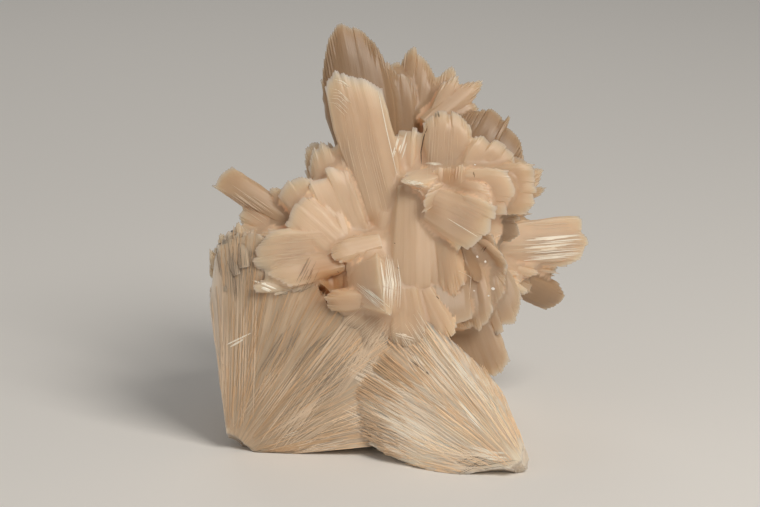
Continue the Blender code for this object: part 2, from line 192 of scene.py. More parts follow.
PRONG_BLADES = {
    "prong": ((7.4, 23.2, 14), (19.1, 24.3, 19), 4.9, 3.2, -10, 0.12),
    "prong_needle": ((6, 22.6, 14.5), (18.3, 21.9, 18), 1.5, 1.3, 0, 0.2),
    "stub": ((7.6, 22, 15), (16.4, 17.8, 21), 3.4, 2.4, 12, 0.14),
    "thorn": ((8, 21.4, 12.5), (13.1, 18.4, 14), 1.6, 1.2, 0, 0.6),
}
# Where the blades run out onto the sprays; these aren't in the solid either
SKIRT_BLADES = {
    "skirt_left": ((-0.8, 18.6, 7), (-6.6, 15, 6.2), 4, 1.9, 6, 0.3),
    "skirt_middle": ((-1, 18.6, 7), (-3, 12.4, 6), 4.6, 1.9, -6, 0.3),
    "skirt_right": ((0.6, 18.8, 6.8), (1.2, 12.6, 5.2), 4.4, 1.9, 4, 0.3),
    "skirt_far": ((2.6, 18.6, 7.2), (4.8, 13.4, 5.2), 3.4, 1.9, 8, 0.35),
}
SHARD_CORNERS = (
    (-2.4, 23, 6), (-1, 21.4, 5.4), (-0.2, 18.9, 4.6), (-0.9, 16.4, 3.4),
    (-3.8, 17.3, 4.6), (-5.6, 18.6, 5.6), (-5.4, 21.4, 6.4),
    (-2.3, 22.2, 4.2), (-2, 19.5, 2.7), (-1.4, 16.8, 2.8), (-2.6, 20, 8.5),
)
SHARD_RUN = ((-2.4, 23, 6), (-1.2, 16.6, 3.2))

# Masses of intergrown roots: middle, half sizes
ROOT_MASSES = (
    ((0, 24.2, 13.6), (7.2, 6.8, 5.8)),
    ((-0.8, 15.4, 14.8), (8.4, 7.8, 7)),
    ((4.8, 24.6, 12.8), (5.2, 6.6, 4.6)),
    ((-7.2, 21.6, 11.2), (4.8, 5.2, 3.8)),
    ((0.6, 23.8, 10.8), (8.2, 5, 3)),
    ((6.4, 28.8, 10), (3.4, 3, 2.4)),
    ((-0.2, 11.6, 9.6), (2.6, 2.8, 2.4)),
)

# Blades of the far side
REAR_BLADES = 19
REAR_MIDDLE = (0.4, 23, 14.5)
REAR_SPREAD = math.radians(84)
REAR_LENGTHS = (8.6, 12.6)
REAR_WIDTHS = (4.6, 6.8)
REAR_THICKNESSES = (1.2, 2)
REAR_FLATTENING = (0.78, 0.98)
GOLDEN_ANGLE = math.pi * (3 - math.sqrt(5))

# The brown hollow left of the shard: what stays open of it, and the mass behind it
POCKET = ((-6.6, 20.2, 5.4), (1.8, 2.5, 1.2))
POCKET_FLOOR = ((-7.3, 19.6, 8), (2.7, 2.3, 1.3))

# Gaps of up to twice GAP_FILL are grown in, to this far below the faces around them
GAP_FILL = 0.7
SPRAY_FILL_SUNK = 0.3
BLADE_FILL_SUNK = 0.12
FILL_VOXEL = 0.3

# Blades: width of a lath, rows of points along them, and where the end starts to thin
LATH = 0.28
FAR_LATH = 0.36
BLADE_ROWS = 18
SMALL_ROWS = 12
THIN_FROM = 0.7

# Short blades between two that fan out of one root: angles between those, how far apart their roots may
# be, and the short blade's reach, thickness, crown and depth behind them
FILLER_ANGLES = (6, 32)
FILLER_ROOTS = 4.2
FILLER_REACH = 0.82
FILLER_THICKNESS = 1.5
FILLER_CROWN = 0.25
FILLER_BEHIND = 0.7

# Sprays: points for each degree, height of the ribs, strength of the streaks, the height over which the
# right spray bends to lie on the left one, and how many degrees deep that goes
SPRAY_POINTS = 3.6
RIB_HEIGHT = 0.09
SPRAY_STREAKS = 0.4
SPRAY_ROWS = 18
CAP_ROWS = 10
MEETING = 2.6
MEETING_DEPTH = 12

# Loose fibres of each spray, the share on its front, the share after which they lie on its edges, their
# widths, how far they stand out in degrees, and their point in widths
LOOSE_FIBRES = {"left": 700, "right": 800, "rear": 300}
FRONT_SHARE = 0.66
EDGES_FROM = 0.88
LOOSE_WIDTHS = (0.04, 0.12)
LOOSE_LIFT = 0.15
NEEDLE_POINT = 1.2

# Colours of the crystal: blades, left spray, right spray, skirt blades, and the brown of the stains and
# of the painted shade in the hollows
CREAM = np.array((0.7, 0.515, 0.355))
TAN = np.array((0.61, 0.465, 0.325))
SILK = np.array((0.88, 0.74, 0.585))
AMBER = np.array((0.68, 0.49, 0.33))
BROWN = np.array((0.5, 0.25, 0.1))

# How much lighter or darker some crystals are than their neighbours: partly their own tone, partly
# painted light.
# The far and top blades are darker as painted shade where the light falls off, and bright ones such as
# the prong and the golden tuft are lighter as painted highlights
TONES_AND_PAINTED_LIGHT = {
    "summit": 0.44, "saddle": 0.68, "saddle_spur": 0.8, "spike": 0.85, "shoulder": 0.48,
    "shoulder_plate": 0.75, "far_spur": 0.7, "saddle_web": 0.64, "tall": 0.9, "column": 0.74,
    "round_leaf": 0.85, "golden_tuft": 1.08, "grey": 0.95, "chip": 1.08, "shell": 1.04,
    "prong": 1.06, "stub": 0.48, "patch": 0.75, "cleft": 0.75, "leaf": 1.08, "wing": 0.82,
    "crest": 0.88, "centre_plate": 0.88, "centre_right": 0.84,
}

# Where the tan of the sprays starts to turn silky, and over what width
SILK_FROM = -9
SILK_BLEND = 10

# Powers of a tone in red, green and blue, so that crystals made darker, by their own tone or by painted
# shade, are also warmer
WARMTH = np.array((0.85, 1, 1.2))

# Crystals that show as one plain plate, with no smaller ones beside them
SMOOTH = (
    "summit", "tall", "saddle", "shoulder", "grey", "wing", "crest", "plate", "shell",
    "centre_plate", "column", "prong", "stub", "fan_leaf", "high_leaf", "third",
)

# How far the left side of some ends stands above the right one, in mm to each side
SLANTS = {
    "tall": 0.7, "summit": 0.1, "golden_tuft": -0.5, "grey": 0.2, "shell": 0.8, "wing": 0,
    "third": -1.2,
}

# Bands painted on the sprays: the near-white ones are painted highlights of the silky sheen, the first is
# a warm yellow band and the second a greyer band down the left edge; tint, start, end, width, strength
SHEEN_AND_TINT_BANDS = (
    ((0.66, 0.5, 0.34), (-6.4, 15.6), (-1.6, 12), 2.4, 0.7),
    ((0.56, 0.5, 0.44), (-18.6, 22), (-18.2, 5), 0.8, 0.7),
    ((0.98, 0.88, 0.74), (2.3, 15.7), (6.5, 10.5), 0.5, 0.9),
    ((0.98, 0.88, 0.74), (6.5, 10.5), (10.4, 6.1), 0.6, 0.9),
    ((0.98, 0.88, 0.74), (5.8, 8), (8.5, 5), 0.5, 0.8),
    ((1, 0.92, 0.8), (-3.1, 7.2), (0, 5.5), 0.9, 0.9),
    ((1, 0.92, 0.8), (0, 5.5), (4.1, 3.3), 1, 1),
)

# Marks on the display side: colour, width, number of strands, how far they spread to each side, and
# points of their run, across and up as the viewer sees them. The bright, sparkling and silky marks are
# painted highlights, glints and sheen
MARKS = (
    ("bright", 0.14, 9, 0.35, (2.3, 15.7), (4.2, 13.2), (6.5, 10.5), (8.6, 8.1), (10.4, 6.1)),
    ("sheen", 0.1, 20, 0.8, (1.8, 15.6), (4, 12.8), (6.6, 9.8), (10.8, 5.2)),
    ("bright", 0.12, 8, 0.3, (5.6, 8.2), (7.2, 6.4), (8.9, 4.6)),
    ("bright", 0.1, 36, 0.9, (-3.1, 7.3), (0, 5.6), (4.1, 3.3)),
    ("sheen", 0.09, 40, 2.4, (-1.5, 9.6), (3, 6.4), (8.4, 2.6)),
    ("sheen", 0.1, 90, 2.6, (-5.4, 8.4), (-3, 7.2), (0, 5.4), (3.6, 3.4)),
    ("sheen", 0.1, 40, 1.6, (-5.6, 11.6), (-2.4, 10), (1.6, 7.4)),
    ("sheen", 0.08, 30, 1.4, (1.2, 2.6), (5.4, 1.6), (10.4, 1.4)),
    ("sheen", 0.14, 4, 0.2, (-0.8, 14.8), (0.3, 14.4), (1.6, 14)),
    ("bright", 0.07, 3, 0.1, (-12.1, 4.2), (-10, 4.9)),
    ("sheen", 0.07, 9, 0.4, (-11.9, 3.2), (-8, 4.3)),
    ("faint", 0.07, 60, 3, (-15, 3), (-12, 7), (-8, 12.6)),
    ("faint", 0.07, 40, 2, (-13.6, 2.4), (-9, 5.4), (-4.4, 8.4)),
    ("sheen", 0.06, 16, 0.7, (-13.4, 2.2), (-8, 3.6), (-3.6, 4.6)),
    ("grey", 0.05, 14, 1, (-10.6, 9.4), (-8.2, 12.6), (-5.6, 15)),
    ("grey", 0.05, 12, 0.8, (-9.6, 8), (-6.6, 11.2), (-3.6, 13.4)),
    ("grey", 0.05, 18, 1.4, (-17.4, 25), (-16.8, 21), (-16.4, 17)),
    ("grey", 0.05, 10, 1.2, (4.4, 2), (8, 1), (12, 1.6)),
    ("dark", 0.05, 5, 0.7, (5.2, 0.9), (7.4, 2), (9, 2.6)),
    ("bright", 0.09, 14, 0.5, (6, 3.4), (9, 2.4), (11.6, 2.2)),
    ("faint", 0.07, 40, 1.8, (-16.4, 4), (-16.2, 12), (-16, 22)),
    ("bright", 0.2, 1, 0, (-17.4, 13.5), (-14.9, 14.7)),
    ("bright", 0.2, 1, 0, (-17, 13.3), (-15.6, 14.1)),
    ("bright", 0.26, 4, 0.45, (-14.9, 19.9), (-12.2, 18.9)),
    ("bright", 0.1, 1, 0, (-2.2, 39), (-1.3, 34.8), (-0.3, 30.5)),
    ("bright", 0.08, 1, 0, (-6.8, 35.6), (-5.8, 33)),
    ("bright", 0.05, 9, 0.7, (-7.2, 38.2), (-6.2, 38.1), (-4.9, 36.8)),
    ("bright", 0.05, 9, 0.7, (-6.9, 39.6), (-6, 39.4), (-4.9, 38.4)),
    ("faint", 0.05, 22, 2, (-5, 37), (-4.4, 33), (-2.6, 26)),
    ("bright", 0.16, 7, 0.8, (-0.5, 32), (0.4, 34.9)),
    ("bright", 0.12, 6, 0.25, (2.4, 31.6), (4.4, 31.4)),
    ("bright", 0.07, 14, 0.45, (-0.1, 29.9), (3.1, 29)),
    ("bright", 0.1, 1, 0, (4.7, 26.2), (7.8, 24.3)),
    ("bright", 0.09, 1, 0, (8.2, 24.2), (8.9, 24.9), (9.8, 26)),
    ("faint", 0.04, 24, 1.6, (4.4, 27.6), (9, 25.2)),
    ("bright", 0.1, 1, 0, (5.7, 21), (7.1, 20.3), (6.9, 18)),
    ("bright", 0.07, 44, 0.9, (-1.2, 22.6), (-0.8, 19.6), (-0.9, 17)),
    ("bright", 0.07, 16, 0.4, (-4.4, 19.6), (-1, 16.8)),
    ("bright", 0.1, 30, 1.1, (12.2, 23), (18.6, 23.5)),
    ("faint", 0.08, 30, 1.8, (9, 24), (18.6, 24.4)),
    ("faint", 0.08, 14, 0.9, (-17.4, 29.4), (-12.6, 26)),
    ("faint", 0.05, 20, 1.6, (-7, 23.4), (-14, 22.6)),
    ("faint", 0.05, 16, 1.8, (4.2, 30), (4.6, 36.4)),
    ("faint", 0.08, 70, 2.2, (-1.4, 16.8), (-4, 14.6), (-8.6, 8.4)),
    ("faint", 0.08, 40, 1.6, (-1.6, 16), (-3.6, 12.6), (-5, 9.6)),
    ("sheen", 0.09, 50, 1.8, (0.2, 16), (2.6, 12), (6.8, 7)),
    ("sheen", 0.09, 30, 1.4, (-4.2, 8.8), (-2.6, 9.2), (0.6, 8.8), (4, 7)),
    ("grey", 0.07, 16, 1.4, (-16.2, 23.6), (-15.9, 18)),
    ("grey", 0.06, 10, 0.9, (-8.4, 22.2), (-10.2, 18.6)),
    ("grey", 0.06, 6, 0.6, (-10, 15), (-11, 12.4)),
    ("grey", 0.05, 12, 2.2, (-14, 7), (-8.4, 16)),
    ("grey", 0.05, 12, 2.4, (-13, 5.4), (-4, 11.4)),
    ("dark", 0.06, 1, 0, (1, 12), (2.7, 10.7)),
    ("dark", 0.2, 1, 0, (2.55, 10.85), (2.9, 10.55)),
    ("dark", 0.11, 1, 0, (2.8, 35.4), (2.35, 34.2), (2.1, 32.8), (2.15, 31.6)),
    ("dark", 0.07, 5, 0.8, (3.9, 36.9), (3.9, 36)),
    ("dark", 0.12, 1, 0, (3.6, 18.4), (3.9, 18.1)),
    ("dark", 0.09, 1, 0, (-0.6, 23.7), (-0.45, 23.65)),
    ("dark", 0.09, 1, 0, (-0.25, 21.25), (-0.1, 21.15)),
    ("dark", 0.16, 1, 0, (-6.3, 20.9), (-6.05, 20.7)),
    ("dark", 0.06, 4, 0.5, (7.9, 22.6), (8.7, 23.6)),
    ("dark", 0.05, 3, 0.5, (7.4, 31), (7.4, 30.2)),
    ("spark", 0.26, 1, 0, (7.6, 22.35), (7.85, 22.3)),
    ("spark", 0.26, 1, 0, (8.4, 21.85), (8.65, 21.8)),
    ("spark", 0.28, 1, 0, (9.1, 19.15), (9.5, 19.1)),
    ("spark", 0.16, 1, 0, (8.75, 18.45), (8.95, 18.4)),
    ("spark", 0.16, 1, 0, (7.3, 18.95), (7.5, 18.9)),
    ("spark", 0.16, 1, 0, (7.4, 31.55), (7.6, 31.5)),
)
# The bright, sparkling and silky tints are painted highlights, glints and sheen; the others are warmer,
# greyer and dark strands
MARK_TINTS = {
    "bright": (1, 0.93, 0.8),
    "spark": (1, 0.98, 0.94),
    "sheen": (0.9, 0.77, 0.62),
    "faint": (0.78, 0.62, 0.46),
    "grey": (0.36, 0.28, 0.21),
    "dark": (0.1, 0.06, 0.04),
}

# How closely a strand follows the surface, and the gap that it doesn't cross
MARK_STEP = 0.3
MARK_JUMP = 1.2

# Brown in the hollows, partly the pocket's own staining and partly painted shade where the hollows and
# the shaded
# right side fall dark: centre, radius, strength
STAINS_AND_SHADE = (
    ((-6.6, 19.6, 6.8), 2.6, 1),
    ((-7.4, 20.4, 5.4), 2, 0.8),
    ((-2.9, 25.7, 7.4), 0.9, 0.6),
    ((5, 30.3, 5.6), 1.2, 0.6),
    ((6.2, 29, 5.2), 1.1, 0.45),
    ((3.4, 26.9, 5.6), 0.9, 0.4),
    ((7, 20.5, 8), 2.6, 0.3),
)

# Lamps: place in mm, size in metres, power, colour
LAMPS = {
    "key": ((160, -200, 270), 0.16, 0.82, (1.0, 0.93, 0.84)),
    "fill": ((-280, -200, 100), 0.3, 0.1, (1.0, 0.95, 0.9)),
    "back": ((-60, 260, 240), 0.16, 0.1, (1.0, 0.95, 0.88)),
}
LAMPS_AIM = np.array((0, 0, 0.02))
ROOM_LIGHT = (1.0, 0.97, 0.93, 1)
ROOM_STRENGTH = 0.2
FLOOR_COLOUR = (0.89, 0.885, 0.87, 1)
FLOOR_HALF = 1.5


def seen(points):
    """Places in the specimen's frame, in mm, of points given as the viewer sees them."""
    points = np.asarray(points, float)
    spread = 1 + points[..., 2:3] / VIEW_DISTANCE
    across = VIEW_CENTRE[0] + (points[..., 0:1] - VIEW_CENTRE[0]) * spread - BOX_MIDDLE_X
    up = VIEW_CENTRE[1] + (points[..., 1:2] - VIEW_CENTRE[1]) * spread
    return across * RIGHT + up * UPWARD + points[..., 2:3] * AWAY - (0, BOX_MIDDLE_Y, 0)


EYE = seen((*VIEW_CENTRE, 0)) - AWAY * VIEW_DISTANCE


def unit(vector):
    return vector / np.linalg.norm(vector, axis=-1, keepdims=True)


def turned_about(vector, axis, degrees):
    angle = math.radians(degrees)
    return (
        vector * math.cos(angle)
        + np.cross(axis, vector) * math.sin(angle)
        + axis * (axis @ vector) * (1 - math.cos(angle))
    )


def softened(share):
    """A share from 0 to 1 that starts and ends slowly."""
    return share * share * (3 - 2 * share)


def wander(rng, count, period):
    """A smooth random curve from -1 to 1."""
    knots = rng.uniform(-1, 1, int(count / period) + 3)
    places = np.arange(count) / period + rng.uniform(0, 1)
    low = places.astype(int)
    mix = softened(places - low)
    return knots[low] * (1 - mix) + knots[low + 1] * mix


def bundles(rng, count, least, most):
    """Numbers that say which bundle each of a row of laths belongs to."""
    sizes = rng.integers(least, most + 1, count)
    return np.repeat(np.arange(count), sizes)[:count]


ATTRIBUTES = {
    "position": ("FLOAT_VECTOR", "vector", 3),
    "fibre": ("FLOAT_VECTOR", "vector", 3),
    "tint": ("FLOAT_COLOR", "color", 4),
    "streaks": ("FLOAT", "value", 1),
}


class Mass:
    """Closed surfaces that become one mesh, with the colour and the run of the fibres."""

    def __init__(self):
        self.parts = []

    def add(self, points, fibres, tints, quads, streaks=0.06):
        """One closed surface. A quad with a corner named twice is a triangle."""
        points = points.reshape(-1, 3)
        corners = points[quads]
        volume = 0
        for a, b, c in ((0, 1, 2), (0, 2, 3)):
            cross = np.cross(corners[:, b], corners[:, c])
            volume += np.einsum("ij,ij->i", corners[:, a], cross).sum()
        if volume < 0:
            quads = quads[:, ::-1]
        tints = np.broadcast_to(np.reshape(tints, (-1, 3)), points.shape)
        self.parts.append((points, fibres.reshape(-1, 3), tints, quads, np.full(len(points), streaks)))

    def joined(self):
        """All the surfaces as one, still separate from each other."""
        points, fibres, tints, quads, streaks = zip(*self.parts)
        first = np.cumsum([0] + [len(some) for some in points])[:-1]
        quads = [some + start for some, start in zip(quads, first)]
        return [np.concatenate(some) for some in (points, fibres, tints, quads, streaks)]


def strips(index):
    """Quads between neighbouring rows and columns of numbered points."""
    return np.stack(
        (index[:-1, :-1], index[:-1, 1:], index[1:, 1:], index[1:, :-1]), -1
    ).reshape(-1, 4)


def closed_rings(rows, around):
    """Quads of a row of rings of points, with a fan of triangles over each end."""
    number = np.arange(rows * around).reshape(rows, around)
    number = np.concatenate((number, number[:, :1]), 1)
    ends = [np.stack((number[row], np.full(around + 1, number[row, 0]))) for row in (0, -1)]
    return np.concatenate((strips(number), strips(ends[0])[:, ::-1], strips(ends[1])))


def to_mesh(name, points, fibres, tints, quads, streaks):
    points = np.clip(points, BOX_LOW + EDGE_GAP, BOX_HIGH - EDGE_GAP)
    same = quads == np.roll(quads, 1, 1)
    faces = [
        [corner for corner, repeated in zip(face, twice) if not repeated]
        for face, twice in zip(quads.tolist(), same.tolist())
        if sum(twice) < 2
    ]
    mesh = bpy.data.meshes.new(name)
    mesh.from_pydata((points * MM).tolist(), [], faces)
    # Brown mixed in near those centres: partly staining, partly painted shade in the hollows
    share = stained_and_shaded(points)[:, None]
    tints = tints * (1 - share) + BROWN * share
    write(mesh, "fibre", fibres)
    write(mesh, "tint", np.insert(tints, 3, 1, axis=1))
    write(mesh, "streaks", streaks)
    return mesh


def write(mesh, name, values):
    kind, key, _ = ATTRIBUTES[name]
    held = mesh.attributes.get(name) or mesh.attributes.new(name, kind, "POINT")
    held.data.foreach_set(key, values.astype(np.float32).ravel())


def read(mesh, name):
    _, key, size = ATTRIBUTES[name]
    values = np.zeros(len(mesh.vertices) * size, np.float32)
    mesh.attributes[name].data.foreach_get(key, values)
    return values.reshape(-1, size)


def placed(name, data):
    made = bpy.data.objects.new(name, data)
    bpy.context.scene.collection.objects.link(made)
    return made


def changed(mesh, *modifiers):
    """A copy of a mesh with some modifiers applied."""
    made = placed("made", mesh)
    for kind, values in modifiers:
        modifier = made.modifiers.new(kind, kind)
        for key, value in values.items():
            setattr(modifier, key, value)
    graph = bpy.context.evaluated_depsgraph_get()
    new = bpy.data.meshes.new_from_object(made.evaluated_get(graph), depsgraph=graph)
    bpy.data.objects.remove(made)
    return new


def merged(meshes):
    """The union of some closed meshes."""
    others = bpy.data.collections.new("others")
    bpy.context.scene.collection.children.link(others)
    for number, mesh in enumerate(meshes[1:]):
        others.objects.link(bpy.data.objects.new(f"other_{number}", mesh))
    join = dict(operand_type="COLLECTION", collection=others, operation="UNION", solver="MANIFOLD")
    new = changed(meshes[0], ("BOOLEAN", join))
    for other in list(others.objects):
        bpy.data.objects.remove(other)
    bpy.data.collections.remove(others)
    for mesh in meshes:
        bpy.data.meshes.remove(mesh)
    return new


def grown_in(mesh, clear):
    """What has grown into the narrow gaps between crystals: the mesh swollen and shrunk again.

    clear is a hollow that stays open.
    """
    even = ("REMESH", dict(mode="VOXEL", voxel_size=FILL_VOXEL * MM))
    sunk = BLADE_FILL_SUNK if clear else SPRAY_FILL_SUNK
    fill = changed(
        mesh,
        even,
        ("DISPLACE", dict(strength=GAP_FILL * MM, mid_level=0.0)),
        even,
        ("DISPLACE", dict(strength=-(GAP_FILL + sunk) * MM, mid_level=0.0)),
        even,
        ("SMOOTH", dict(factor=0.5, iterations=4)),
    )
    if not clear:
        return fill
    hollow = Mass()
    lump(hollow, np.random.default_rng(9), *clear, CREAM)
    ball = placed("ball", to_mesh("ball", *hollow.parts[0]))
    new = changed(fill, ("BOOLEAN", dict(object=ball, operation="DIFFERENCE", solver="MANIFOLD")))
    bpy.data.objects.remove(ball)
    return new


def united(name, mass, clear):
    """The mesh of a mass whose crystals have grown into one solid."""
    mesh = merged([to_mesh(f"part_{number}", *part) for number, part in enumerate(mass.parts)])
    mesh = merged([mesh, grown_in(mesh, clear)])
    mesh.name = name
    places = read(mesh, "position")
    looks = {look: read(mesh, look) for look in ("streaks", "fibre", "tint")}
    given = looks["streaks"][:, 0] > 0
    old, new = np.nonzero(given)[0], np.nonzero(~given)[0]
    tree = KDTree(len(old))
    for number, place in enumerate(places[old]):
        tree.insert(place, number)
    tree.balance()
    near = old[[tree.find(place)[1] for place in places[new]]]
    for look, values in looks.items():
        values[new] = values[near]
        write(mesh, look, values)
    return mesh


def piece(name, mass, material, solid=True, sharp=35, clear=None):
    """One object from a mass, riding on the specimen in place of its solid: its points and faces."""
    mesh = united(name, mass, clear) if solid else to_mesh(name, *mass.joined())
    mesh.shade_smooth()
    mesh.set_sharp_from_angle(angle=math.radians(sharp))
    mesh.materials.clear()
    mesh.materials.append(material)
    made = placed(name, mesh)
    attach(made, "root")
    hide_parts("crystal_cluster")
    print(name, "triangles", sum(len(face.vertices) - 2 for face in mesh.polygons))
    points = read(mesh, "position") / MM
    return points.tolist(), [face.vertices[:] for face in mesh.polygons]


def stained_and_shaded(points):
    total = np.zeros(len(points))
    for centre, radius, strength in STAINS_AND_SHADE:
        off = np.linalg.norm(points - seen(centre), axis=1) / radius
        total = np.maximum(total, strength * np.exp(-(off**2)))
    return total


def blade_axes(along, turn):
    face = -AWAY - along * (along @ -AWAY)
    face = turned_about(unit(face), along, turn)
    return np.cross(face, along), face


def terraces(rng, place, share, count, most):
    """Thin growth plates on a flat side, as heights above it: each ends in a blunt ragged point."""
    height = np.zeros((len(share), len(place)))
    for _ in range(count):
        middle, half = rng.uniform(-0.8, 0.8), rng.uniform(0.2, 0.7)
        off = (place - middle) / half
        reach = rng.uniform(0.4, 1.1) - rng.uniform(0.0, 0.15) * np.abs(off - rng.uniform(-0.6, 0.6))
        reach = reach - 0.03 * rng.uniform(0, 1, len(place))
        drift = rng.uniform(-0.3, 0.3) * share[:, None]
        shown = (np.abs(off[None, :] - drift) < 1) & (share[:, None] < reach[None, :])
        height += shown * rng.uniform(0.3, 1.0) * most
    return height - height.mean()


def lath_ends(rng, bundle, place, width, length, crown, slant):
    """How far the laths of a blade reach and the grooves between them, in bundles that step down."""
    laths = len(bundle)
    names, first, sizes = np.unique(bundle, return_index=True, return_counts=True)
    peak = first + rng.uniform(0, 1, len(names)) * (sizes - 1)
    slope = rng.uniform(0.1, 0.7, len(names)) * width / laths
    drop = rng.uniform(0, 1, len(names)) ** 2 * min(0.4, 0.08 * width)
    short = drop[bundle] + slope[bundle] * np.abs(np.arange(laths) - peak[bundle])
    short = short + rng.uniform(0, 0.05, laths)
    peak_at = rng.uniform(-0.5, 0.5)
    roof = 0.75 * np.interp(place, (-1, peak_at, 1), (1, 0, 1)) ** 1.15
    rounding = 1 - np.sqrt(1 - (0.97 * place) ** 2)
    blunt = 0.6 if crown > 0.33 else 0.12
    ends = length * (1 - crown * ((1 - blunt) * roof + blunt * rounding))
    ends += (rng.uniform(-0.3, 0.3) if slant is None else slant) * place
    ends[1::2] -= short
    low, high = np.append(ends[1::2], 0), np.insert(ends[1::2], 0, 0)
    low[-1], high[0] = ends[-2], ends[1]
    apart = np.append(1, np.append((np.diff(bundle) != 0) * 1, 1))
    ends[0::2] = np.minimum(low, high) - 0.015 - apart * rng.uniform(0.02, 0.12, laths + 1)
    return ends


def grow(mass, rng, start, end, width, thick, turn, crown, tint, fine=LATH, rows=BLADE_ROWS, slant=None):
    """A bladed crystal: a smooth plate of fine laths with thin edges and a finely toothed end."""
    length = np.linalg.norm(end - start)
    along = (end - start) / length
    across, face = blade_axes(along, turn)
    laths = max(6, int(width / fine))
    columns = 2 * laths + 1
    place = np.linspace(-1, 1, columns)
    bundle = bundles(rng, laths, 2, 9)
    ends = lath_ends(rng, bundle, place, width, length, crown, slant)
    early = 2 * rows // 3
    share = np.append(np.linspace(0, THIN_FROM, early), np.linspace(THIN_FROM, 1, rows - early + 1)[1:])
    share_row, place_col = share[:, None], place[None, :]
    late = np.clip((share_row - THIN_FROM) / 0.3, 0, 1)
    ragged = rng.uniform(-1, 1, (rows, 2))
    side = np.where(place_col < 0, ragged[:, :1], ragged[:, 1:]) * np.abs(place_col) ** 6
    grown = (0.72 + 0.28 * np.minimum(1, share_row / THIN_FROM) - 0.02 * late) * (1 + 0.03 * side)
    bend = rng.uniform(-0.02, 0.02) * length
    middle = (
        start
        + along * (share_row * ends[None, :])[..., None]
        + across * (place_col * grown * width / 2)[..., None]
        + face * (bend * share_row**2 * np.ones_like(place_col))[..., None]
    )
    sheets = []
    for out in (1, -1):
        corners = (-1, rng.uniform(-0.85, -0.6), rng.uniform(-0.4, 0.4), rng.uniform(0.6, 0.85), 1)
        heights = (0.42, rng.uniform(0.86, 0.98), rng.uniform(0.98, 1.03), rng.uniform(0.86, 0.98), 0.42)
        ridge = 0.003 * rng.uniform(-1, 1, laths)[bundle] + 0.001 * rng.uniform(-1, 1, laths)
        relief = np.zeros((rows, columns))
        relief[:, 1::2] = ridge
        relief[:, 2:-1:2] = (relief[:, 1:-2:2] + relief[:, 3::2]) / 2 - 0.0005
        swell = 0.012 * thick * wander(rng, columns, columns / 3)
        relief += swell + terraces(rng, place, share, 4, min(0.03, 0.025 * thick))
        depth = thick / 2 * np.interp(place, corners, heights) * (1 - late**2.2)
        depth = depth * (1 + 0.7 * np.clip(1 - share_row / 0.75, 0, 1))
        depth = depth + relief * np.minimum(1, 4 * (1 - share_row))
        sheets.append(middle + out * face * np.maximum(depth, 0.01)[..., None])
    front, back = sheets
    back[:, 0] = front[:, 0] = middle[:, 0]
    back[:, -1] = front[:, -1] = middle[:, -1]
    back[-1] = front[-1] = middle[-1]
    number = np.arange(rows * columns).reshape(rows, columns)
    behind = number + rows * columns
    behind[:, 0], behind[:, -1], behind[-1] = number[:, 0], number[:, -1], number[-1]
    root_row = np.stack((number[0], behind[0]))
    quads = np.concatenate((strips(number), strips(behind)[:, ::-1], strips(root_row)[:, ::-1]))
    used, index = np.unique(quads, return_inverse=True)
    mark = rng.uniform(0, 90)
    fibres = (place_col * grown * width / 2 + mark, share_row * ends[None, :], mark + 0 * grown)
    fibres = np.stack(fibres, -1)
    lath_tone = rng.uniform(-0.02, 0.02, laths)[bundle]
    column_tone = np.append(lath_tone[np.arange(columns - 1) // 2], lath_tone[-1])
    # The thin edges and the end of each blade are painted lighter: a painted highlight where the thin
    # crystal catches the light
    lift = 1 + column_tone + 0.3 * np.abs(place_col) ** 16 + 0.15 * share_row**16
    tints = (tint * lift[..., None] * np.ones((2, 1, 1, 1))).reshape(-1, 3)
    points = np.stack((front, back)).reshape(-1, 3)
    fibres = np.stack((fibres, fibres + (0, 0, 3.0))).reshape(-1, 3)
    mass.add(points[used], fibres[used], tints[used], index.reshape(-1, 4))


def needles(mass, rng, starts, ends, widths, tints):
    """Many slender prisms with pointed ends."""
    along = unit(ends - starts)
    aside = unit(np.cross(along, rng.normal(size=along.shape)))
    upright = np.cross(along, aside)
    flat = rng.uniform(0.5, 1.0, len(starts))[:, None]
    ring = []
    for turn in range(4):
        angle = math.pi / 2 * turn
        ring.append((aside * math.cos(angle) + upright * flat * math.sin(angle)) * widths[:, None] / 2)
    ring = np.stack(ring, 1)
    length = np.linalg.norm(ends - starts, axis=1)[:, None, None]
    near = starts[:, None] + ring * 0.8
    far = starts[:, None] + along[:, None] * (length - NEEDLE_POINT * widths[:, None, None]) + ring
    tip = np.broadcast_to(ends[:, None], near.shape[:1] + (1, 3))
    base = np.broadcast_to(starts[:, None], tip.shape)
    points = np.concatenate((near, far, tip, base), 1)
    first = (np.arange(len(starts)) * 10)[:, None]
    quads = []
    for turn in range(4):
        other = (turn + 1) % 4
        side = (turn, other, 4 + other, 4 + turn)
        for corners in (side, (4 + turn, 4 + other, 8, 8), (other, turn, 9, 9)):
            quads.append(first + np.array(corners))
    quads = np.concatenate(quads)
    marks = rng.uniform(0, 90, len(starts))
    fibres = np.zeros(points.shape)
    fibres[..., 0] = marks[:, None]
    fibres[:, 4:9, 1] = length[:, 0]
    fibres[..., 2] = marks[:, None]
    mass.add(points, fibres, np.repeat(tints, 10, axis=0), quads)


def ways(angle, lean):
    """Directions out of a spray's apex, from angles in degrees."""
    angle, lean = np.radians(angle)[..., None], np.radians(lean)[..., None]
    return (
        RIGHT * np.cos(angle) * np.cos(lean) + UPWARD * np.sin(angle) * np.cos(lean) + AWAY * np.sin(lean)
    )


def by_angle(pairs, angle):
    return np.interp(angle, [p[0] for p in pairs], [p[1] for p in pairs])


